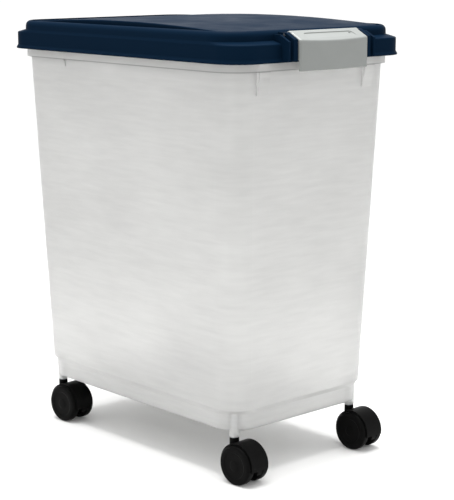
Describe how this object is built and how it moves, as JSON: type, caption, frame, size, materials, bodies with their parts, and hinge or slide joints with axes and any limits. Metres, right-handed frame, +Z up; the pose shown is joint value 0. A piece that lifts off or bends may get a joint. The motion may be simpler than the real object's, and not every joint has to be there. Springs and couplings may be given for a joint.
{
  "type": "pet food storage container",
  "caption": "Tall translucent bin on swivel casters for dry pet food, with a hinged sealed lid held down by a front buckle latch.",
  "frame": {"origin": "on the floor, below the centre of the container's outline", "axes": "+X to the right as one faces the latch from the front, -Y towards the latch and +Y towards the rear hinge, +Z up"},
  "size_m": [0.2752, 0.452, 0.5148],
  "materials": {
    "frosted_polypropylene": "frosted translucent polypropylene with a faint orange-peel moulding",
    "lid_plastic": "navy moulded polypropylene, satin gloss",
    "latch_plastic": "light grey moulded plastic, fine matte",
    "black_nylon": "black glass-filled nylon, semi-matte",
    "steel": "plated steel",
    "seal": "soft pale seal"
  },
  "bodies": {
    "tub": {"tub": "frosted_polypropylene", "hinge_pin_left": "steel", "hinge_pin_right": "steel", "caster_front_left_stem": "steel", "caster_front_left_grip_ring": "steel", "caster_front_right_stem": "steel", "caster_front_right_grip_ring": "steel", "caster_rear_left_stem": "steel", "caster_rear_left_grip_ring": "steel", "caster_rear_right_stem": "steel", "caster_rear_right_grip_ring": "steel"},
    "lid": {"lid": "lid_plastic", "lid_gasket": "seal", "latch_pin": "steel"},
    "latch": {"latch": "latch_plastic"},
    "caster_front_left": {"caster_front_left_hood": "black_nylon", "caster_front_left_axle": "steel"},
    "caster_front_left_wheel_left": {"caster_front_left_wheel_left": "black_nylon"},
    "caster_front_left_wheel_right": {"caster_front_left_wheel_right": "black_nylon"},
    "caster_front_right": {"caster_front_right_hood": "black_nylon", "caster_front_right_axle": "steel"},
    "caster_front_right_wheel_left": {"caster_front_right_wheel_left": "black_nylon"},
    "caster_front_right_wheel_right": {"caster_front_right_wheel_right": "black_nylon"},
    "caster_rear_left": {"caster_rear_left_hood": "black_nylon", "caster_rear_left_axle": "steel"},
    "caster_rear_left_wheel_left": {"caster_rear_left_wheel_left": "black_nylon"},
    "caster_rear_left_wheel_right": {"caster_rear_left_wheel_right": "black_nylon"},
    "caster_rear_right": {"caster_rear_right_hood": "black_nylon", "caster_rear_right_axle": "steel"},
    "caster_rear_right_wheel_left": {"caster_rear_right_wheel_left": "black_nylon"},
    "caster_rear_right_wheel_right": {"caster_rear_right_wheel_right": "black_nylon"}
  },
  "joints": [
    {"name": "lid_open", "type": "hinge", "parent": "tub", "child": "lid", "pos_m": [0, 0.2205, 0.4823], "axis": [-1, 0, 0], "range_deg": [0, 105]},
    {"name": "latch_open", "type": "hinge", "parent": "lid", "child": "latch", "pos_m": [0, -0.2044, 0.5044], "axis": [-1, 0, 0], "range_deg": [0, 100]},
    {"name": "caster_front_left_swivel", "type": "hinge", "parent": "tub", "child": "caster_front_left", "pos_m": [-0.09499, -0.16349, 0.04], "axis": [0, 0, 1], "continuous": true},
    {"name": "caster_front_left_wheel_left_spin", "type": "hinge", "parent": "caster_front_left", "child": "caster_front_left_wheel_left", "pos_m": [-0.09416, -0.17937, 0.023], "axis": [0.9986, 0.0523, 0], "continuous": true},
    {"name": "caster_front_left_wheel_right_spin", "type": "hinge", "parent": "caster_front_left", "child": "caster_front_left_wheel_right", "pos_m": [-0.09416, -0.17937, 0.023], "axis": [0.9986, 0.0523, 0], "continuous": true},
    {"name": "caster_front_right_swivel", "type": "hinge", "parent": "tub", "child": "caster_front_right", "pos_m": [0.09499, -0.16349, 0.04], "axis": [0, 0, 1], "continuous": true},
    {"name": "caster_front_right_wheel_left_spin", "type": "hinge", "parent": "caster_front_right", "child": "caster_front_right_wheel_left", "pos_m": [0.09568, -0.17937, 0.023], "axis": [0.999, 0.0436, 0], "continuous": true},
    {"name": "caster_front_right_wheel_right_spin", "type": "hinge", "parent": "caster_front_right", "child": "caster_front_right_wheel_right", "pos_m": [0.09568, -0.17937, 0.023], "axis": [0.999, 0.0436, 0], "continuous": true},
    {"name": "caster_rear_left_swivel", "type": "hinge", "parent": "tub", "child": "caster_rear_left", "pos_m": [-0.09499, 0.16349, 0.04], "axis": [0, 0, 1], "continuous": true},
    {"name": "caster_rear_left_wheel_left_spin", "type": "hinge", "parent": "caster_rear_left", "child": "caster_rear_left_wheel_left", "pos_m": [-0.09374, 0.14764, 0.023], "axis": [0.9969, 0.0785, 0], "continuous": true},
    {"name": "caster_rear_left_wheel_right_spin", "type": "hinge", "parent": "caster_rear_left", "child": "caster_rear_left_wheel_right", "pos_m": [-0.09374, 0.14764, 0.023], "axis": [0.9969, 0.0785, 0], "continuous": true},
    {"name": "caster_rear_right_swivel", "type": "hinge", "parent": "tub", "child": "caster_rear_right", "pos_m": [0.09499, 0.16349, 0.04], "axis": [0, 0, 1], "continuous": true},
    {"name": "caster_rear_right_wheel_left_spin", "type": "hinge", "parent": "caster_rear_right", "child": "caster_rear_right_wheel_left", "pos_m": [0.09527, 0.14759, 0.023], "axis": [0.9998, 0.0175, 0], "continuous": true},
    {"name": "caster_rear_right_wheel_right_spin", "type": "hinge", "parent": "caster_rear_right", "child": "caster_rear_right_wheel_right", "pos_m": [0.09527, 0.14759, 0.023], "axis": [0.9998, 0.0175, 0], "continuous": true}
  ]
}
